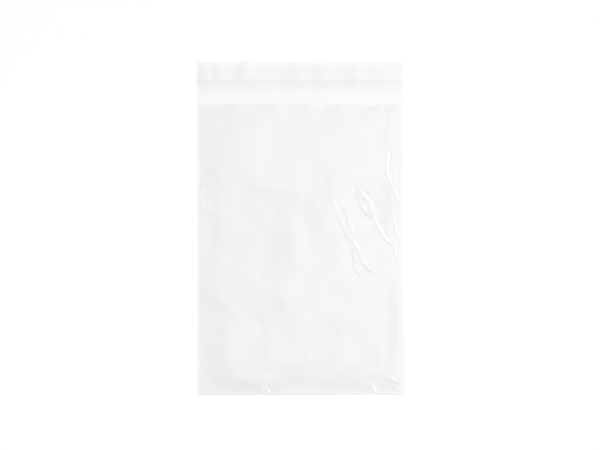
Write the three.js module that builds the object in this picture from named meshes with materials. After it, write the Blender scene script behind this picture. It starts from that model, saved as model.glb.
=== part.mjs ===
// Clear self-seal bag, empty, lying on its back with its lip open towards +Y. Millimetres, +Z up.
//
// One sheet of film makes the bag: the back panel, a fold along the bottom and a shorter front panel. The two
// sides are welded and trimmed in one cut, and past the mouth the back panel runs on as a lip. The lip carries
// an adhesive strip, covered by a peel-off release liner. The origin is under the middle of the bag, on the
// surface that it lies on.
import * as THREE from "three";
import { mergeVertices } from "three/addons/utils/BufferGeometryUtils.js";

// The bag as it is cut and welded
const BAG_WIDTH = 127; // side to side, where the film lies quite flat
const BODY_LENGTH = 177.2; // bottom fold to mouth
const LIP_LENGTH = 26; // mouth to the lip's free edge
const FILM = 0.05; // gauge of the film
const WELD_WIDTH = 1.2; // melted bead along each side
const BEAD_RISE = 0.06; // the bead stands this much above the two films that it joins

// The closure on the lip
const LINER_MARGIN = 3.8; // lip's free edge to the liner
const LINER_WIDTH = 8.2;
const LINER = 0.08; // thickness of the liner
const ADHESIVE_INSET = 1.6; // how far the adhesive stays inside the liner's long edges
const ADHESIVE = 0.06; // thickness of the adhesive

// How the empty bag lies
const SIDE_PULL = 1.6; // the creases draw the right-hand side in this far
const PULL_REACH = 45; // how far above the fold most of that pull is reached
const PANEL_GAP = 0.4; // air between the two panels where nothing lifts the front
const SEAM_REACH = 16; // the front panel rises over this distance from a weld or the fold
const CREASE_REACH = 4; // and a crease over this one
const MOUTH_RIPPLE = 0.3; // waves along the mouth
const RIPPLE_PITCH = 23;
const RIPPLE_REACH = 9; // how far down the front panel they run
const LIP_FLAT = 5.2; // mouth to where the lip starts to rise
const LIP_RISE = 1.1; // the stiff closure lifts the lip off the surface by this much
const LIP_WAVE = 0.3; // extra height of each wave along the closure
const LIP_WAVE_SPREAD = 4.5;
const LIP_WAVES = [0.04, 0.11, 0.236, 0.488, 0.61, 0.768, 0.886]; // their places, from the left, of the width
const SWELL_HEIGHT = 1.1; // of the highest soft swelling of the front panel
const CREASE_HEIGHT = 1.2; // of the highest crease
const CREASE_SPREAD = 2.5; // half a crease's width

// Soft swellings of the front panel. Places are shares of the bag's width, from the right, and of the body's
// length, down from the mouth. A reach is a share of the width.
const SWELLINGS = [
  { inward: 0.22, down: 0.416, reach: 0.268, rise: 1 },
  { inward: 0.315, down: 0.191, reach: 0.205, rise: 0.55 },
  { inward: 0.787, down: 0.236, reach: 0.189, rise: 0.8 },
  { inward: 0.827, down: 0.658, reach: 0.15, rise: 0.75 },
  { inward: 0.724, down: 0.855, reach: 0.157, rise: 0.8 },
  { inward: 0.52, down: 0.787, reach: 0.134, rise: 0.55 },
  { inward: 0.205, down: 0.821, reach: 0.173, rise: 0.8 },
];

// Creases of the front panel, each along a curve through places given in the same shares
const CREASES = [
  { rise: 0.85, through: [[0.083, 0.143], [0.093, 0.217], [0.073, 0.261], [0.039, 0.349]] },
  { rise: 0.65, through: [[0.059, 0.36], [0.035, 0.394], [0.049, 0.472], [0.033, 0.562]] },
  { rise: 1, through: [[0.224, 0.323], [0.173, 0.364], [0.124, 0.436], [0.055, 0.484]] },
  { rise: 1, through: [[0.362, 0.281], [0.343, 0.326], [0.302, 0.397], [0.248, 0.475], [0.149, 0.587]] },
  { rise: 0.65, through: [[0.302, 0.364], [0.272, 0.335], [0.224, 0.323]] },
  { rise: 0.6, through: [[0.248, 0.517], [0.24, 0.557], [0.197, 0.607]] },
  { rise: 0.5, through: [[0.972, 0.312], [0.929, 0.337], [0.89, 0.367]] },
];
const CREASE_SPOTS = 28; // places along a crease at which its distance is taken

const GRID_STEP = 3.5; // spacing of the grid that the film is made of

const leftX = -BAG_WIDTH / 2;
const rightX = BAG_WIDTH / 2;
const foldY = -(BODY_LENGTH + LIP_LENGTH) / 2;
const mouthY = foldY + BODY_LENGTH;
const lipY = mouthY + LIP_LENGTH;
const linerTop = lipY - LINER_MARGIN;
const linerFoot = linerTop - LINER_WIDTH;
const { clamp, inverseLerp, smoothstep } = THREE.MathUtils;

// Positions from one end to the other, in even steps of about the grid's spacing
function spaced(from, to) {
  const count = Math.max(1, Math.round((to - from) / GRID_STEP));
  return Array.from({ length: count + 1 }, (_, i) => from + ((to - from) * i) / count);
}

// Grid lines shared by everything on the bag, so that sheets lie flat on each other
const pocketColumns = spaced(leftX + WELD_WIDTH, rightX - WELD_WIDTH);
const columns = [leftX, leftX + WELD_WIDTH / 2, ...pocketColumns, rightX - WELD_WIDTH / 2, rightX];
const pocketRows = spaced(foldY + FILM, mouthY);
const bodyRows = [foldY, ...pocketRows.slice(1)];
const adhesiveRows = spaced(linerFoot + ADHESIVE_INSET, linerTop - ADHESIVE_INSET);
const linerRows = [linerFoot, ...adhesiveRows, linerTop];
const risingRows = spaced(mouthY + LIP_FLAT, linerFoot);
const lipRows = [mouthY, ...risingRows, ...linerRows.slice(1), lipY];

// A place on the front panel, from shares of its width and length
function onPanel(inward, down) {
  return new THREE.Vector3(rightX - inward * BAG_WIDTH, mouthY - down * BODY_LENGTH, 0);
}

// The height of one crease over the film around it
function creaseHeight({ rise, through }) {
  const points = through.map(([inward, down]) => onPanel(inward, down));
  const spots = new THREE.CatmullRomCurve3(points).getPoints(CREASE_SPOTS);
  return (x, y) => {
    const heights = spots.map((spot, i) => {
      const taper = Math.sqrt(Math.sin((Math.PI * i) / CREASE_SPOTS));
      const away = Math.hypot(x - spot.x, y - spot.y) / CREASE_SPREAD;
      return CREASE_HEIGHT * rise * taper * Math.exp(-(away ** 2));
    });
    return Math.max(...heights);
  };
}

function swellingHeight({ inward, down, reach, rise }) {
  const centre = onPanel(inward, down);
  return (x, y) => {
    const away = Math.hypot(x - centre.x, y - centre.y) / (reach * BAG_WIDTH);
    return SWELL_HEIGHT * rise * Math.exp(-(away ** 2));
  };
}

const swellings = SWELLINGS.map(swellingHeight);
const creases = CREASES.map(creaseHeight);
const total = (heights, x, y) => heights.reduce((sum, height) => sum + height(x, y), 0);

// Air between the panels: none at the welds and the fold, more under swellings, creases and mouth ripples
function panelGap(x, y) {
  const fromWeld = Math.min(x - leftX, rightX - x) - WELD_WIDTH;
  const fromFold = y - foldY - FILM;
  const free = (reach) => smoothstep(fromWeld, 0, reach) * smoothstep(fromFold, 0, reach);
  const atMouth = smoothstep(y, mouthY - RIPPLE_REACH, mouthY);
  const ripple = MOUTH_RIPPLE * atMouth * Math.sin((2 * Math.PI * x) / RIPPLE_PITCH);
  const broad = PANEL_GAP + ripple + total(swellings, x, y);
  return free(SEAM_REACH) * broad + free(CREASE_REACH) * total(creases, x, y);
}

const backTop = () => FILM;
const frontUnderside = (x, y) => FILM + panelGap(x, y);

// Top of the front panel, and of the bead along each side
function frontTop(x, y) {
  const fromSide = Math.min(x - leftX, rightX - x);
  const inBead = fromSide > 0 && fromSide < WELD_WIDTH;
  return frontUnderside(x, y) + FILM + (inBead ? BEAD_RISE : 0);
}

// Underside of the lip: flat next to the mouth, then ever steeper up to the closure, which lies in waves
function lipUnderside(x, y) {
  const climb = clamp(inverseLerp(mouthY + LIP_FLAT, linerFoot, y), 0, 1);
  const waves = LIP_WAVES.map((share) => {
    const away = (x - leftX - share * BAG_WIDTH) / LIP_WAVE_SPREAD;
    return Math.exp(-(away ** 2));
  });
  return climb ** 2 * (LIP_RISE + LIP_WAVE * Math.max(...waves));
}

const lipTop = (x, y) => lipUnderside(x, y) + FILM;

// A point of the film, with the right-hand side drawn in by the creases
function place(x, y, height) {
  const pull = SIDE_PULL * (1 - Math.exp((foldY - y) / PULL_REACH));
  return [leftX + (x - leftX) * (1 - pull / BAG_WIDTH), y, height(x, y)];
}

const alongRow = (across, y, height) => across.map((x) => place(x, y, height));
const alongSide = (x, rows, height) => rows.map((y) => place(x, y, height));
const grid = (across, rows, height) => rows.map((y) => alongRow(across, y, height));

// Triangles between neighbouring lines of points, facing up where the lines run along +X and follow along +Y
function skin(lines) {
  const triangles = [];
  lines.slice(1).forEach((far, row) => {
    const near = lines[row];
    for (let i = 0; i + 1 < near.length; i += 1) {
      triangles.push([near[i], near[i + 1], far[i]], [near[i + 1], far[i + 1], far[i]]);
    }
  });
  return triangles;
}

const turned = (triangles) => triangles.map(([a, b, c]) => [a, c, b]);

// A flat face inside the rim of a grid, facing up: strips from side to side, and a fan to each end line
function plate(across, rows, height) {
  const ends = [across[0], across.at(-1)];
  const strips = grid(ends, rows.slice(1, -1), height);
  const near = alongRow(across, rows[0], height);
  const far = alongRow(across, rows.at(-1), height);
  return [...fan(near, strips[0]), ...skin(strips), ...turned(fan(far, strips.at(-1)))];
}

// Triangles from each half of a line of points to the nearer end of a span beyond it, and between the halves
function fan(line, [left, right]) {
  const middle = Math.floor(line.length / 2);
  const spokes = line.slice(1).map((to, i) => [line[i], to, i < middle ? left : right]);
  return [...spokes, [line[middle], right, left]];
}

// The upright faces round a sheet, between its under and upper surfaces, without the ends named open
function walls(across, rows, under, upper, { front = true, back = true } = {}) {
  const upright = (line) => skin([line(under), line(upper)]);
  return [
    ...upright((height) => alongSide(across.at(-1), rows, height)),
    ...turned(upright((height) => alongSide(across[0], rows, height))),
    ...(front ? upright((height) => alongRow(across, rows[0], height)) : []),
    ...(back ? turned(upright((height) => alongRow(across, rows.at(-1), height))) : []),
  ];
}

// A named piece sewn from triangles whose corners meet
function piece(name, triangles, finish) {
  const open = new THREE.BufferGeometry();
  open.setAttribute("position", new THREE.Float32BufferAttribute(triangles.flat(2), 3));
  const geometry = mergeVertices(open);
  geometry.computeVertexNormals();
  const mesh = new THREE.Mesh(geometry, new THREE.MeshStandardMaterial(finish));
  mesh.name = name;
  return mesh;
}

// The film: outside, then the inside of the pocket, then the lip and the cut edges
function makeBagFilm() {
  const flat = () => 0;
  const leftBead = columns.slice(0, 3);
  const rightBead = columns.slice(-3);
  const atMouth = (across, height) => alongRow(across, mouthY, height);
  const mouthEdge = (across, under) => turned(skin([atMouth(across, under), atMouth(across, frontTop)]));
  return piece(
    "bag_film",
    [
      ...skin(grid(columns, bodyRows, frontTop)),
      ...turned(plate(columns, bodyRows, flat)),
      ...walls(columns, bodyRows, flat, backTop, { back: false }),
      ...walls(columns, bodyRows, backTop, frontTop, { back: false }),
      ...turned(skin(grid(pocketColumns, pocketRows, frontUnderside))),
      ...plate(pocketColumns, pocketRows, backTop),
      ...mouthEdge(pocketColumns, frontUnderside),
      ...mouthEdge(leftBead, backTop),
      ...mouthEdge(rightBead, backTop),
      ...skin(grid(columns, lipRows, lipTop)),
      ...turned(skin(grid(columns, lipRows, lipUnderside))),
      ...walls(columns, lipRows, lipUnderside, lipTop, { front: false }),
    ],
    { color: 0xf4f5f6, roughness: 0.08, metalness: 0, transparent: true, opacity: 0.3 },
  );
}

// A strip of one thickness on the lip, as long as the bag is wide
function strip(name, rows, under, thickness, finish) {
  const upper = (x, y) => under(x, y) + thickness;
  const faces = [
    ...skin(grid(columns, rows, upper)),
    ...turned(skin(grid(columns, rows, under))),
    ...walls(columns, rows, under, upper),
  ];
  return piece(name, faces, finish);
}

// Adhesive on the inner face of the lip, and the release liner that lies on it and reaches past it on both sides
function makeClosure() {
  const adhesiveTop = (x, y) => lipTop(x, y) + ADHESIVE;
  return [
    strip("adhesive_strip", adhesiveRows, lipTop, ADHESIVE, { color: 0xe9ebea, roughness: 0.45, metalness: 0 }),
    strip("release_liner", linerRows, adhesiveTop, LINER, { color: 0xf1f2f2, roughness: 0.25, metalness: 0 }),
  ];
}

const bag = new THREE.Group();
bag.add(makeBagFilm(), ...makeClosure());

export default bag;
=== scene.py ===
"""Looks of a clear self-seal bag that lies empty on its back, with its lip open and its liner in place."""

import math

import bpy
import numpy as np
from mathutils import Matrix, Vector, noise


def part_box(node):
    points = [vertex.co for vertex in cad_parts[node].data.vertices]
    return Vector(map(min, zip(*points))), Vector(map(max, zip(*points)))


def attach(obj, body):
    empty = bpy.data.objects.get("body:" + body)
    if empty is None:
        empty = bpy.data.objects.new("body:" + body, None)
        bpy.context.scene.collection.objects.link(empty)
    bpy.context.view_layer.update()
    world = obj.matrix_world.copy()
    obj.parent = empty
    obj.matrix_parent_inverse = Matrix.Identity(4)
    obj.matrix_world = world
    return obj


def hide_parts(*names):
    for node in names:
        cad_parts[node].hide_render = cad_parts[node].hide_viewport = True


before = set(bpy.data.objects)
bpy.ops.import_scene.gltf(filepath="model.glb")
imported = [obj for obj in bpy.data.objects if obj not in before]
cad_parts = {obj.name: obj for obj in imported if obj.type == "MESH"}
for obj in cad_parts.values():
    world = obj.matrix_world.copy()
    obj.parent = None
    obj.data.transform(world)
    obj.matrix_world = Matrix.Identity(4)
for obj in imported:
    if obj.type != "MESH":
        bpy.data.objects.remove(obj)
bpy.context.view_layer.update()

MM = 0.001  # metres in a millimetre; every size and place below is in millimetres

# The bag, from the frame
film_low, film_high = (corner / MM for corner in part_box("bag_film"))
liner_low, liner_high = (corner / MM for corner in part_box("release_liner"))
glue_low, glue_high = (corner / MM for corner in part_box("adhesive_strip"))
LEFT, RIGHT = film_low.x, film_high.x
FOLD, LIP_EDGE = film_low.y, film_high.y
LINER_FOOT, LINER_TOP = liner_low.y, liner_high.y
GLUE_FOOT, GLUE_TOP = glue_low.y, glue_high.y
BAG_WIDTH = RIGHT - LEFT
LIP_LENGTH = 26.0
MOUTH = LIP_EDGE - LIP_LENGTH
FILM = 0.05  # gauge of the film
WELD_WIDTH = 1.2
BEAD_RISE = 0.06
GLUE = 0.04  # thickness of the adhesive
LINER = 0.06  # thickness of the liner
AIR = 0.02  # left between the film, the adhesive and the liner

# How the empty bag lies
SIDE_PULL = 1.6  # the creases draw the right-hand side in this far
PULL_REACH = 45.0
PANEL_GAP = 0.4  # air between the panels where nothing lifts the front
LEAST_GAP = 0.05  # the panels never touch between the welds
GAP_REACH = 0.6  # and part over this distance
SEAM_REACH = 13.0  # the front panel swells up over this distance from a weld
FOLD_REACH = 11.0  # and over this one from the fold
COCKLE_REACH = 8.0  # a cockle or a soft fold rises over this distance from either
CREASE_REACH = 3.0  # and a crease over this one
MOUTH_RIPPLE = 0.3  # the front panel ripples along the mouth by this much, up and down
RIPPLE_PITCH = 23.0
RIPPLE_REACH = 9.0
MOUTH_CURL = 0.16  # the front panel's cut edge turns up by this much, most on the left-hand side
MOUTH_CURL_REACH = 1.2
LIP_FLAT = 5.2  # mouth to where the lip starts to rise
LIP_RISE = 1.1
LIP_BEND = 1.5  # the rise sets in softly, as this power of the distance
LIP_WAVE = 0.3  # and is this much higher where the closure waves
LIP_WAVE_SPREAD = 4.5
LIP_WAVES = (5, 14, 30, 62, 77.5, 97.5, 112.5)  # from the left-hand side
FOOT_CURL = 0.3  # the liner's long edges curl up by this much, at its foot
TOP_CURL = 0.25  # and at its top
WAVE_CURL = 0.2  # and its foot by more where the closure waves
CURL_REACH = 2.0
EDGE_LIFT = 0.12  # and the cut edge at the foot turns up more sharply
EDGE_REACH = 0.3

# Soft swellings of the front panel: from the right-hand side, down from the mouth, reach, height
SWELLINGS = (
    (43, 72, 30, 1.25),
    (40, 34, 26, 0.6),
    (100, 42, 24, 0.6),
    (88, 114, 20, 0.7),
    (92, 152, 20, 0.45),
    (66, 140, 17, 0.4),
    (26, 146, 22, 0.45),
    (13, 132, 24, 0.5),
    (12, 4, 14, 0.4),
    (113, 157, 11, 0.4),
    (52, 108, 14, 0.4),
)

# Sharp creases: height, half the width of the crest, then points, each given from the right-hand side and
# down from the mouth
CREASES = (
    (0.45, 0.65, ((10.2, 24), (11.5, 38.9), (8, 49.3), (5.4, 55.4), (5.6, 62.4))),
    (0.25, 0.7, ((7, 39.8), (6.2, 45.4), (6.4, 51.4))),
    (0.4, 0.65, ((7.6, 62), (5.5, 65.5), (3.4, 67.8))),
    (0.35, 0.65, ((7.6, 66.5), (6.3, 76.3), (4.3, 82))),
    (0.3, 0.65, ((6.8, 84), (6.2, 89), (4.6, 97))),
    (
        0.55,
        0.8,
        ((30.3, 49.3), (26.4, 54.5), (22, 58.9), (19.8, 66.7), (15.9, 76.3), (10.6, 83.7), (6.5, 84.2)),
    ),
    (0.4, 1.0, ((31, 55.6), (28.1, 59.4), (24.6, 65), (20.5, 68))),
    (0.45, 0.75, ((46, 50), (43.8, 58.9), (40.3, 68.5), (36.4, 77.2), (30.5, 85))),
    (
        0.5,
        0.65,
        ((39.4, 62.4), (35.9, 66.5), (32.9, 74.6), (30.7, 83.3), (28.1, 91.2), (23.7, 98.1), (17, 104.4)),
    ),
    (0.4, 0.7, ((32.2, 87), (31.4, 94), (30.3, 100.7), (26, 105.6))),
    (0.2, 1.6, ((16.5, 91.5), (15, 95), (14.5, 99.5))),
    (0.15, 1.5, ((49.3, 41.5), (46.5, 44.5), (43.8, 46.8))),
    (0.5, 0.8, ((123, 54), (118.6, 59.6), (113, 65.7))),
    (0.5, 0.8, ((123.4, 48), (123.6, 57), (121.5, 66.4))),
    (0.6, 1.1, ((22.3, 170.2), (20.2, 172.4), (17.9, 174.6))),
    (0.48, 1.0, ((10.4, 165.4), (7.2, 167.8), (4, 169.8))),
    (0.35, 0.8, ((7.6, 171.2), (6.1, 172.8), (4.7, 174.2))),
    (0.75, 1.0, ((87, 172.4), (84.9, 174), (82.9, 175.2))),
    (0.3, 0.9, ((46.7, 131.3), (43, 134), (39.9, 135.8))),
    (0.25, 0.9, ((31.5, 132), (29.5, 131), (27.7, 129.4))),
)
CREST_SHARE = 0.85  # of a crease's height
FOOT_SHARE = 0.15  # the rest is a softer ridge that carries the crest
CREASE_FOOT = 3.0  # half the width of that ridge
CREASE_SPOTS = 90  # places along a crease or a fold at which its distance is taken
CREASE_WANDER = 0.9  # how far a crease strays from its curve
HEIGHT_WANDER = 0.5  # and how much its height varies with that
WANDER_PITCH = 6.0
WANDER_SEEDS = (3.4, 6.8, 11.3)  # across, along and in height
CRINKLES = ((4.5, 0.4), (2.2, 0.16))  # pitch and height of the finer cockling along a crease 1 mm high
CRINKLE_SEED = 4.1
CRINKLE_REACH = 3.5

# Soft folds of the front panel between flatter facets: height, spread, then points as for the creases
SOFT_FOLDS = (
    (0.5, 7.0, ((99.4, 50.4), (84, 50.1), (65.8, 54.2), (52, 65.7), (49.8, 76.4))),
    (0.65, 5.0, ((118, 112), (113.1, 118.5), (106.4, 125.5), (99, 133))),
    (0.6, 5.5, ((107, 127), (110, 139), (108, 152), (104, 163), (100, 170))),
    (0.35, 3.5, ((123.8, 88.5), (113, 96.2), (99.4, 100.8))),
    (0.3, 4.0, ((105.5, 81), (96, 80), (87, 78.6))),
    (0.3, 3.5, ((99.4, 62.6), (88.7, 64), (78, 61.8))),
    (-0.45, 8.0, ((96, 131), (86, 136.5), (74, 137.5), (62, 133))),
    (0.22, 5.0, ((100, 156), (84, 157), (61, 156.5), (49, 158))),
    (0.2, 4.0, ((44, 152), (35.3, 157.2), (18.5, 164.8))),
    (0.25, 3.0, ((114.6, 22.2), (104, 17.6), (93.3, 12.3))),
    (0.2, 3.0, ((84, 108.4), (81, 100.8), (76.5, 96.2))),
)
FOLD_ROUNDING = 0.4  # radius at the crest of a soft fold

# Cockling of the film: pitch and height, for the front panel and the back one
FRONT_COCKLES = ((26, 0.5), (11, 0.15), (5, 0.06))
FRONT_SEED = 1.7
BACK_COCKLES = ((19, 0.4), (9, 0.1))
BACK_SEED = 8.3

# The front panel is calmer around a place near its top, given as the places of the creases are
CALM_INWARD = 45.0
CALM_DOWN = 24.0
CALM_REACH = 32.0
CALM_SHARE = 0.65

# Grid lines: how far apart they are, and where they are closer
PLAIN_STEP = 2.0
FINE_STEP = 0.5
LEFT_STEP = 0.8
FLECK_STEP = 0.65
MOUTH_STEP = 0.3
BACK_STEP = 5.0
LIP_STEP = 1.0
STRIP_STEP = 1.0  # across the bag, on the adhesive and the liner
GLUE_STEP = 0.5
LINER_STEP = 0.6
CURL_STEP = 0.22
EDGE_STEP = 0.05
LEFT_WIDTH = 16.0  # two creases lie within this distance of the left-hand side
CREASED_WIDTH = 50.0  # and most of them within this distance of the right-hand one
CREASED_FROM = 23.0  # and between these distances down from the mouth
CREASED_TO = 107.0
FLECK_ROWS = 13.0  # small puckers catch the light within this distance of the fold
FLECK_FROM, FLECK_TO = 79.0, 90.0  # and one of them lies between these distances from the right-hand side
ON_EDGE = 0.01  # what is closer than this to an edge of a weld lies on it
SAME_POINT_DIGITS = 9  # points that agree to this many digits of a metre are one
SHARP_ANGLE = 50.0  # degrees between faces from which an edge is sharp

# Looks
STREAK_VALUES = (0.3, 0.7)  # of the noise that makes the haze, from its thin places to its thick ones
STREAK_DETAIL = 3.0
TABLE_DEPTH = 0.1  # the table lies this far under the bag
TABLE_SIZE = 6000.0
TABLE_WHITE = 0.95
TABLE_GLOW = 0.9  # share of the table's white that no lamp gives; the rest is true light, with its shadows
LIGHT_BOUNCES = 24  # through all the faces of the film and back

# The studio's brightness: a range of a direction's share along an axis, and the values at its two ends
BRIGHT_SIDE = (0.97, 0.24, 0.0)  # the direction in which the ceiling brightens
CEILING_PANEL = ((-0.24, 0.14), (0.30, 0.84))  # along the bright side
PAST_PANEL = ((0.15, 0.28), (1.0, 0.58))  # along it, further out
TOWARDS_ENDS = ((0.04, 0.45), (1.0, 0.03))  # along the bag, to either end
SIDE_WALLS = ((0.30, 0.46), (0.0, 0.8))  # along the bright side, to either hand
WALL_FOOT = ((0.40, 0.65), (0.0, 1.0))  # upwards
HORIZON = ((0.30, 0.60), (0.45, 0.0))  # upwards

# The photograph, in pixels, and the camera
PHOTO_WIDTH, PHOTO_HEIGHT = 600, 450
PIXELS_PER_MM = 1.6386
BAG_CENTRE_PIXEL = (301.25, 228.8)
LENS = 85.0
SENSOR = 36.0


def eased(t):
    """A share from 0 to 1 that sets in and ends softly."""
    t = np.clip(t, 0, 1)
    return t * t * (3 - 2 * t)


def spaced(stops, steps):
    """Positions from the first stop to the last, in steps of about the size given for each stretch."""
    positions = [stops[0]]
    for start, end, step in zip(stops, stops[1:], steps):
        count = max(1, round((end - start) / step))
        positions += [start + (end - start) * i / count for i in range(1, count + 1)]
    return np.array(positions)


def curve_through(points, count):
    """Evenly numbered places along a smooth curve through the points."""
    points = np.array(points, float)
    ends = np.vstack([2 * points[0] - points[1], points, 2 * points[-1] - points[-2]])
    places = []
    for along in np.linspace(0, len(points) - 1, count):
        i = min(int(along), len(points) - 2)
        t = along - i
        a, b, c, d = ends[i : i + 4]
        places.append(b + 0.5 * t * (c - a + t * (2 * a - 5 * b + 4 * c - d + t * (3 * (b - c) + d - a))))
    return np.array(places)


def cockle(x, y, layers, seed):
    """Uneven cockling of a sheet: layers of smooth noise, each with a pitch and a height."""
    height = np.zeros_like(x)
    for pitch, size in layers:
        spots = zip(x.ravel() / pitch, y.ravel() / pitch)
        values = [noise.noise(Vector((across, along, seed))) for across, along in spots]
        height += size * np.array(values).reshape(x.shape)
    return height


def ridge(x, y, points, profile, wander=0.0):
    """Height of a ridge along a curve through the points, which tapers to nothing at both ends."""
    places = curve_through([(RIGHT - inward, MOUTH - down) for inward, down in points], CREASE_SPOTS)
    tallest = np.zeros(np.broadcast(x, y).shape)
    for i, (spot_x, spot_y) in enumerate(places):
        across, along, taller = (
            wander * noise.noise(Vector((spot_x / WANDER_PITCH, spot_y / WANDER_PITCH, seed)))
            for seed in WANDER_SEEDS
        )
        away = np.hypot(x - spot_x - across, y - spot_y - along)
        taper = math.sqrt(math.sin(math.pi * (i + 0.5) / CREASE_SPOTS))
        tallest = np.maximum(tallest, taper * (1 + HEIGHT_WANDER * taller) * profile(away))
    return tallest


def crest(spread):
    """Profile of a sharp crest on a softer ridge."""

    def profile(away):
        sharp = np.exp(-((away / spread) ** 2))
        soft = np.exp(-((away / CREASE_FOOT) ** 2))
        return CREST_SHARE * sharp + FOOT_SHARE * soft

    return profile


def tent(spread):
    """Profile of a fold between two facets."""
    return lambda away: np.exp(-np.hypot(away, FOLD_ROUNDING) / spread)


def drawn_in(x, y):
    """Where the creases draw a place across the bag to: the right-hand side comes in, most at the mouth."""
    pull = SIDE_PULL * (1 - np.exp((FOLD - y) / PULL_REACH))
    return LEFT + (x - LEFT) * (1 - pull / BAG_WIDTH)


def panel_gap(x, y):
    """Air between the two panels: none at the welds and the fold."""
    seen = drawn_in(x, y)
    from_weld = np.minimum(x - LEFT, RIGHT - x) - WELD_WIDTH
    from_fold = y - FOLD - FILM
    soft = eased(from_weld / SEAM_REACH) * eased(from_fold / FOLD_REACH)
    nearer = eased(from_weld / COCKLE_REACH) * eased(from_fold / COCKLE_REACH)
    nearest = eased(from_weld / CREASE_REACH) * eased(from_fold / CREASE_REACH)
    at_mouth = eased((y - MOUTH) / RIPPLE_REACH + 1)
    broad = PANEL_GAP + MOUTH_RIPPLE * at_mouth * np.sin(2 * math.pi * x / RIPPLE_PITCH)
    turned_up = np.clip(1 - (MOUTH - y) / MOUTH_CURL_REACH, 0, 1) ** 2 * eased((RIGHT - x) / BAG_WIDTH)
    broad = broad + MOUTH_CURL * turned_up
    for inward, down, reach, height in SWELLINGS:
        away = np.hypot(seen - (RIGHT - inward), y - (MOUTH - down)) / reach
        broad = broad + height * np.exp(-(away**2))
    from_calm = np.hypot(x - (RIGHT - CALM_INWARD), y - (MOUTH - CALM_DOWN)) / CALM_REACH
    cockled = cockle(x, y, FRONT_COCKLES, FRONT_SEED) * (1 - CALM_SHARE * np.exp(-(from_calm**2)))
    for height, spread, points in SOFT_FOLDS:
        cockled = cockled + height * ridge(seen, y, points, tent(spread), CREASE_WANDER)
    creased = along = 0
    for height, spread, points in CREASES:
        creased = creased + height * ridge(seen, y, points, crest(spread), CREASE_WANDER)
        along = np.maximum(along, height * ridge(seen, y, points, tent(CRINKLE_REACH)))
    creased = creased + along * cockle(x, y, CRINKLES, CRINKLE_SEED)
    least = LEAST_GAP * eased(np.minimum(from_weld, from_fold) / GAP_REACH)
    return np.maximum(least, soft * broad + nearer * cockled + nearest * creased)


def lip_wave(x):
    """How far the closure is waved up at a place across the bag, from 0 to 1."""
    return np.max([np.exp(-(((x - LEFT - place) / LIP_WAVE_SPREAD) ** 2)) for place in LIP_WAVES], axis=0)


def back_under(x, y):
    """Underside of the back panel and the lip: on the table at the sides, and lifted along the closure."""
    from_side = np.minimum(x - LEFT, RIGHT - x)
    free = math.prod(eased(away / SEAM_REACH) for away in (from_side, y - FOLD, MOUTH - y))
    rise = np.clip((y - MOUTH - LIP_FLAT) / (LINER_FOOT - MOUTH - LIP_FLAT), 0, 1) ** LIP_BEND
    lifted = rise * (LIP_RISE + LIP_WAVE * lip_wave(x))
    return lifted + free * np.maximum(0, cockle(x, y, BACK_COCKLES, BACK_SEED))


def back_top(x, y):
    """Top of the back panel and the lip, inside the bag."""
    return back_under(x, y) + FILM


def front_under(x, y):
    """Underside of the front panel, inside the bag."""
    return back_top(x, y) + panel_gap(x, y)


def front_top(x, y):
    """Top of the front panel, with the bead that stands up along each weld."""
    from_side = np.minimum(x - LEFT, RIGHT - x)
    in_bead = (from_side > ON_EDGE) & (from_side < WELD_WIDTH - ON_EDGE)
    return front_under(x, y) + FILM + BEAD_RISE * in_bead


def points_at(x, y, height):
    """Points of the film in metres, drawn in by the creases."""
    x, y = np.broadcast_arrays(np.asarray(x, float), np.asarray(y, float))
    return np.stack([drawn_in(x, y), y, height(x, y)], axis=-1) * MM


def grid_points(columns, rows, height):
    """Rows of points of the film, one point for every column."""
    return points_at(columns[None, :], rows[:, None], height)


class Sewing:
    """Faces gathered patch by patch, whose matching edges are joined at the end."""

    def __init__(self):
        self.points = []
        self.faces = []

    def add(self, points):
        """Takes points in and gives their numbers."""
        start = len(self.points)
        self.points += [tuple(point) for point in points]
        return list(range(start, len(self.points)))

    def skin(self, lines, turned=False):
        """Quads between lines of points, facing up where lines along +X follow each other along +Y."""
        numbered = [self.add(line) for line in lines]
        for near, far in zip(numbered, numbered[1:]):
            for i in range(len(near) - 1):
                quad = (near[i], near[i + 1], far[i + 1], far[i])
                self.faces.append(quad[::-1] if turned else quad)

    def zipped(self, near, far, turned=False):
        """Triangles between two lines along +X with different numbers of points, the far one along +Y."""
        near_ids, far_ids = self.add(near), self.add(far)
        i, j = 0, 0
        while i < len(near) - 1 or j < len(far) - 1:
            next_near = near[i + 1][0] if i < len(near) - 1 else math.inf
            next_far = far[j + 1][0] if j < len(far) - 1 else math.inf
            if next_near <= next_far:
                face = (near_ids[i], near_ids[i + 1], far_ids[j])
                i += 1
            else:
                face = (near_ids[i], far_ids[j + 1], far_ids[j])
                j += 1
            self.faces.append(face[::-1] if turned else face)

    def rim(self, lower, upper, ends=("left", "right", "near", "far")):
        """Upright faces between the rims of two grids of the same size."""
        strips = {
            "near": ([lower[0], upper[0]], False),
            "far": ([lower[-1], upper[-1]], True),
            "right": ([lower[:, -1], upper[:, -1]], False),
            "left": ([lower[:, 0], upper[:, 0]], True),
        }
        for end in ends:
            lines, turned = strips[end]
            self.skin(lines, turned)

    def object(self, name, material):
        """The piece that the faces make."""
        mesh = bpy.data.meshes.new(name)
        rounded = np.round(self.points, SAME_POINT_DIGITS)
        points, which = np.unique(rounded, axis=0, return_inverse=True)
        which = which.ravel().tolist()
        mesh.from_pydata(points.tolist(), [], [[which[corner] for corner in face] for face in self.faces])
        mesh.shade_smooth()
        mesh.set_sharp_from_angle(angle=math.radians(SHARP_ANGLE))
        mesh.materials.append(material)
        piece = bpy.data.objects.new(name, mesh)
        bpy.context.scene.collection.objects.link(piece)
        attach(piece, "root")
        return piece


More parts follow.
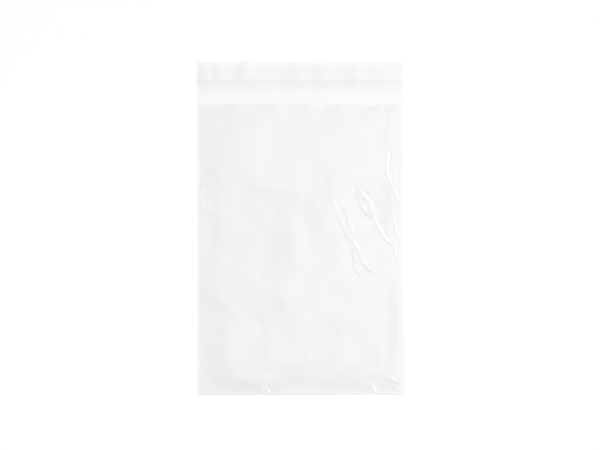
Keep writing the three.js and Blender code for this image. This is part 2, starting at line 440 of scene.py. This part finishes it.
def make_film(material):
    """The whole film: front panel, pocket, back panel and lip, as one closed sheet."""
    flecked = [RIGHT - FLECK_TO, RIGHT - FLECK_FROM]
    inner = spaced(
        [LEFT + WELD_WIDTH, LEFT + LEFT_WIDTH, *flecked, RIGHT - CREASED_WIDTH, RIGHT - WELD_WIDTH],
        [LEFT_STEP, PLAIN_STEP, FLECK_STEP, PLAIN_STEP, FINE_STEP],
    )
    left_weld = [LEFT, LEFT + WELD_WIDTH / 2]
    right_weld = [RIGHT - WELD_WIDTH / 2, RIGHT]
    columns = np.concatenate([left_weld, inner, right_weld])
    creased = [MOUTH - CREASED_TO, MOUTH - CREASED_FROM]
    pocket_rows = spaced(
        [FOLD + FILM, FOLD + FLECK_ROWS, *creased, MOUTH - MOUTH_CURL_REACH, MOUTH],
        [FLECK_STEP, PLAIN_STEP, FINE_STEP, PLAIN_STEP, MOUTH_STEP],
    )
    body_rows = np.concatenate([[FOLD], pocket_rows[1:]])
    lip_rows = spaced([MOUTH, LIP_EDGE], [LIP_STEP])
    back_inner = spaced([LEFT + WELD_WIDTH, RIGHT - WELD_WIDTH], [BACK_STEP])
    back_columns = np.concatenate([left_weld, back_inner, right_weld])

    sewn = Sewing()
    top = grid_points(columns, body_rows, front_top)
    under = grid_points(inner, pocket_rows, front_under)
    sewn.skin(top)
    sewn.skin(under, turned=True)
    sew_back(sewn, inner, back_inner, pocket_rows, back_top, turned=False)
    sew_back(sewn, columns, back_columns, body_rows, back_under, turned=True)
    edge_low = grid_points(columns, body_rows, back_under)
    edge_mid = grid_points(columns, body_rows, back_top)
    sewn.rim(edge_low, edge_mid, ends=("left", "right", "near"))
    sewn.rim(edge_mid, top, ends=("left", "right", "near"))
    mouth_floor = points_at(columns, MOUTH, back_top)
    weld = len(left_weld)
    sewn.skin([mouth_floor[: weld + 1], top[-1, : weld + 1]], turned=True)
    sewn.skin([under[-1], top[-1, weld:-weld]], turned=True)
    sewn.skin([mouth_floor[-weld - 1 :], top[-1, -weld - 1 :]], turned=True)
    lip_low = grid_points(columns, lip_rows, back_under)
    lip_high = grid_points(columns, lip_rows, back_top)
    sewn.skin(lip_high)
    sewn.skin(lip_low, turned=True)
    sewn.rim(lip_low, lip_high, ends=("left", "right", "far"))
    film = sewn.object("clear_film", material)
    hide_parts("bag_film")


def sew_back(sewn, columns, few_columns, rows, height, turned):
    """A face of the back panel, with few columns except at the fold and the mouth."""
    middle = grid_points(few_columns, rows[1:-1], height)
    sewn.zipped(points_at(columns, rows[0], height), middle[0], turned)
    sewn.skin(middle, turned)
    sewn.zipped(middle[-1], points_at(columns, rows[-1], height), turned)


def make_strip(name, rows, under, thickness, material):
    """A strip of one thickness across the lip."""
    columns = spaced([LEFT, RIGHT], [STRIP_STEP])
    low = grid_points(columns, rows, under)
    high = grid_points(columns, rows, lambda x, y: under(x, y) + thickness)
    sewn = Sewing()
    sewn.skin(high)
    sewn.skin(low, turned=True)
    sewn.rim(low, high)
    return sewn.object(name, material)


def make_adhesive(material):
    """The adhesive across the lip, under the liner."""
    rows = spaced([GLUE_FOOT, GLUE_TOP], [GLUE_STEP])
    strip = make_strip("glue_line", rows, lambda x, y: back_top(x, y) + AIR, GLUE, material)
    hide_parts("adhesive_strip")


def liner_under(x, y):
    """Underside of the liner, which lies on the adhesive and curls up along its long edges."""
    wave = lip_wave(x)
    at_foot = np.clip(1 - (y - LINER_FOOT) / CURL_REACH, 0, 1) ** 2
    at_edge = np.clip(1 - (y - LINER_FOOT) / EDGE_REACH, 0, 1) ** 2
    at_top = np.clip(1 - (LINER_TOP - y) / CURL_REACH, 0, 1) ** 2
    curl = at_foot * (FOOT_CURL + WAVE_CURL * wave) + at_edge * EDGE_LIFT * (1 + wave) + at_top * TOP_CURL
    return back_top(x, y) + 2 * AIR + GLUE + curl


def make_liner(material):
    """The peel-off liner over the adhesive."""
    curled = [LINER_FOOT + CURL_REACH, LINER_TOP - CURL_REACH]
    stops = [LINER_FOOT, LINER_FOOT + EDGE_REACH, *curled, LINER_TOP]
    rows = spaced(stops, [EDGE_STEP, CURL_STEP, LINER_STEP, CURL_STEP])
    strip = make_strip("liner_strip", rows, liner_under, LINER, material)
    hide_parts("release_liner")


def new_material(name):
    """A material with its nodes and its links."""
    material = bpy.data.materials.new(name)
    material.use_nodes = True
    return material, material.node_tree.nodes, material.node_tree.links


def drawn_haze():
    """Faint streaks of haze along the way a film was drawn, as a roughness between two values."""
    group = bpy.data.node_groups.new("drawn_haze", "ShaderNodeTree")
    sockets = group.interface
    for name, kind in (("Fineness", "Vector"), ("Least", "Float"), ("Most", "Float")):
        sockets.new_socket(name, in_out="INPUT", socket_type="NodeSocket" + kind)
    sockets.new_socket("Roughness", in_out="OUTPUT", socket_type="NodeSocketFloat")
    nodes, links = group.nodes, group.links
    given = nodes.new("NodeGroupInput")
    place = nodes.new("ShaderNodeTexCoord")
    stretched = nodes.new("ShaderNodeVectorMath")
    stretched.operation = "MULTIPLY"
    streaks = nodes.new("ShaderNodeTexNoise")
    streaks.inputs["Scale"].default_value = 1.0
    streaks.inputs["Detail"].default_value = STREAK_DETAIL
    ranged = nodes.new("ShaderNodeMapRange")
    ranged.inputs["From Min"].default_value, ranged.inputs["From Max"].default_value = STREAK_VALUES
    result = nodes.new("NodeGroupOutput")
    links.new(place.outputs["Object"], stretched.inputs[0])
    links.new(given.outputs["Fineness"], stretched.inputs[1])
    links.new(stretched.outputs[0], streaks.inputs["Vector"])
    links.new(streaks.outputs["Fac"], ranged.inputs["Value"])
    links.new(given.outputs["Least"], ranged.inputs["To Min"])
    links.new(given.outputs["Most"], ranged.inputs["To Max"])
    links.new(ranged.outputs["Result"], result.inputs["Roughness"])
    return group


def clear_plastic(name, clearness, index, haze, streak):
    """A clear plastic, whose haze lies in streaks of a width and a length."""
    material, nodes, links = new_material(name)
    shader = nodes["Principled BSDF"]
    shader.inputs["Base Color"].default_value = (clearness, clearness, clearness, 1)
    shader.inputs["IOR"].default_value = index
    shader.inputs["Transmission Weight"].default_value = 1.0
    streaks = nodes.new("ShaderNodeGroup")
    streaks.node_tree = bpy.data.node_groups.get("drawn_haze") or drawn_haze()
    width, length = streak
    streaks.inputs["Fineness"].default_value = (1 / (width * MM), 1 / (length * MM), 1 / (length * MM))
    streaks.inputs["Least"].default_value, streaks.inputs["Most"].default_value = haze
    links.new(streaks.outputs["Roughness"], shader.inputs["Roughness"])
    return material


def film_material():
    """Clear film with long streaks along the bag."""
    return clear_plastic("clear_film", clearness=0.997, index=1.65, haze=(0.03, 0.055), streak=(3, 40))


def adhesive_material():
    """Hazy adhesive, spread across the lip."""
    return clear_plastic("hazy_adhesive", clearness=0.998, index=1.01, haze=(0.1, 0.2), streak=(6, 1.5))


def liner_material():
    """Clear film, drawn across the lip."""
    return clear_plastic("release_film", clearness=0.997, index=1.4, haze=(0.06, 0.1), streak=(30, 2))


def make_table():
    """White table: near full white to the camera and through the film, with a share of true light."""
    half = TABLE_SIZE / 2 * MM
    mesh = bpy.data.meshes.new("table")
    corners = [(x * half, y * half, -TABLE_DEPTH * MM) for x, y in ((-1, -1), (1, -1), (1, 1), (-1, 1))]
    mesh.from_pydata(corners, [], [(0, 1, 2, 3)])
    material, nodes, links = new_material("white_table")
    nodes.remove(nodes["Principled BSDF"])
    matte = nodes.new("ShaderNodeBsdfDiffuse")
    matte.inputs["Color"].default_value = (TABLE_WHITE, TABLE_WHITE, TABLE_WHITE, 1)
    white = nodes.new("ShaderNodeEmission")
    white.inputs["Strength"].default_value = 1.0
    seen = seen_rays(nodes, links, ("Is Camera Ray", "Is Glossy Ray", "Is Transmission Ray"))
    share = nodes.new("ShaderNodeMath")
    share.operation = "MULTIPLY"
    share.inputs[1].default_value = TABLE_GLOW
    links.new(seen, share.inputs[0])
    mix = nodes.new("ShaderNodeMixShader")
    links.new(share.outputs[0], mix.inputs["Fac"])
    links.new(matte.outputs[0], mix.inputs[1])
    links.new(white.outputs[0], mix.inputs[2])
    links.new(mix.outputs[0], nodes["Material Output"].inputs["Surface"])
    mesh.materials.append(material)
    table = bpy.data.objects.new("table", mesh)
    bpy.context.scene.collection.objects.link(table)


def seen_rays(nodes, links, kinds):
    """A value of 1 for the named kinds of ray and 0 for others."""
    path = nodes.new("ShaderNodeLightPath")
    value = path.outputs[kinds[0]]
    for kind in kinds[1:]:
        value = combined(nodes, links, "MAXIMUM", value, path.outputs[kind])
    return value


def combined(nodes, links, operation, *values):
    """The result of one sum on the values."""
    math_node = nodes.new("ShaderNodeMath")
    math_node.operation = operation
    for i, value in enumerate(values):
        links.new(value, math_node.inputs[i])
    return math_node.outputs[0]


def eased_range(nodes, links, value, between, results):
    """A value that eases from the first result to the second between two limits."""
    ranged = nodes.new("ShaderNodeMapRange")
    ranged.interpolation_type = "SMOOTHSTEP"
    ranged.inputs["From Min"].default_value, ranged.inputs["From Max"].default_value = between
    ranged.inputs["To Min"].default_value, ranged.inputs["To Max"].default_value = results
    links.new(value, ranged.inputs["Value"])
    return ranged.outputs["Result"]


def make_world():
    """A dim ceiling that brightens to the right, with paler side walls, and white past the table."""
    world = bpy.data.worlds.new("studio")
    bpy.context.scene.world = world
    world.use_nodes = True
    nodes, links = world.node_tree.nodes, world.node_tree.links
    ceiling = nodes["Background"]
    ceiling.inputs["Color"].default_value = (1, 1, 1, 1)
    place = nodes.new("ShaderNodeTexCoord")
    towards = nodes.new("ShaderNodeVectorMath")
    towards.operation = "DOT_PRODUCT"
    towards.inputs[1].default_value = BRIGHT_SIDE
    links.new(place.outputs["Generated"], towards.inputs[0])
    sideways = towards.outputs["Value"]
    along = nodes.new("ShaderNodeSeparateXYZ")
    links.new(place.outputs["Generated"], along.inputs[0])
    upwards = along.outputs["Z"]
    lengthways = combined(nodes, links, "ABSOLUTE", along.outputs["Y"])
    to_a_side = combined(nodes, links, "ABSOLUTE", sideways)
    panel = eased_range(nodes, links, sideways, *CEILING_PANEL)
    past_panel = eased_range(nodes, links, sideways, *PAST_PANEL)
    fading = eased_range(nodes, links, lengthways, *TOWARDS_ENDS)
    walls = eased_range(nodes, links, to_a_side, *SIDE_WALLS)
    above_foot = eased_range(nodes, links, upwards, *WALL_FOOT)
    walls = combined(nodes, links, "MULTIPLY", walls, above_foot)
    horizon = eased_range(nodes, links, upwards, *HORIZON)
    lit = combined(nodes, links, "MULTIPLY", panel, past_panel)
    lit = combined(nodes, links, "MULTIPLY", lit, fading)
    lit = combined(nodes, links, "MAXIMUM", lit, walls)
    lit = combined(nodes, links, "MAXIMUM", lit, horizon)
    links.new(lit, ceiling.inputs["Strength"])
    white = nodes.new("ShaderNodeBackground")
    white.inputs["Color"].default_value = (1, 1, 1, 1)
    mix = nodes.new("ShaderNodeMixShader")
    links.new(seen_rays(nodes, links, ("Is Camera Ray",)), mix.inputs["Fac"])
    links.new(ceiling.outputs[0], mix.inputs[1])
    links.new(white.outputs[0], mix.inputs[2])
    links.new(mix.outputs[0], nodes["World Output"].inputs["Surface"])


def make_softbox(name, place, side, radiance):
    """A square lamp that faces the middle of the bag and looks as bright as the radiance given."""
    light = bpy.data.lights.new(name, "AREA")
    light.size = side * MM
    light.energy = radiance * math.pi * (side * MM) ** 2
    lamp = bpy.data.objects.new(name, light)
    lamp.location = Vector(place) * MM
    lamp.rotation_euler = (-lamp.location).to_track_quat("-Z", "Y").to_euler()
    bpy.context.scene.collection.objects.link(lamp)


def make_camera():
    """Straight above the bag, with +Y up in the picture."""
    data = bpy.data.cameras.new("camera")
    data.lens, data.sensor_width = LENS, SENSOR
    camera = bpy.data.objects.new("camera", data)
    across = (PHOTO_WIDTH / 2 - BAG_CENTRE_PIXEL[0]) / PIXELS_PER_MM
    along = (BAG_CENTRE_PIXEL[1] - PHOTO_HEIGHT / 2) / PIXELS_PER_MM
    away = PHOTO_WIDTH / PIXELS_PER_MM * LENS / SENSOR
    camera.location = Vector((across, along, away)) * MM
    bpy.context.scene.collection.objects.link(camera)
    bpy.context.scene.camera = camera


make_camera()
make_film(film_material())
make_adhesive(adhesive_material())
make_liner(liner_material())
make_table()
make_world()
make_softbox("right_softbox", place=(580, 350, 700), side=700, radiance=1.2)
make_softbox("front_softbox", place=(367, -889, 870), side=460, radiance=27.0)
scene = bpy.context.scene
scene.view_settings.view_transform = "Standard"
scene.cycles.blur_glossy = 0.0  # the film doesn't blur the light that comes back from the table
scene.cycles.max_bounces = LIGHT_BOUNCES
scene.cycles.transmission_bounces = LIGHT_BOUNCES
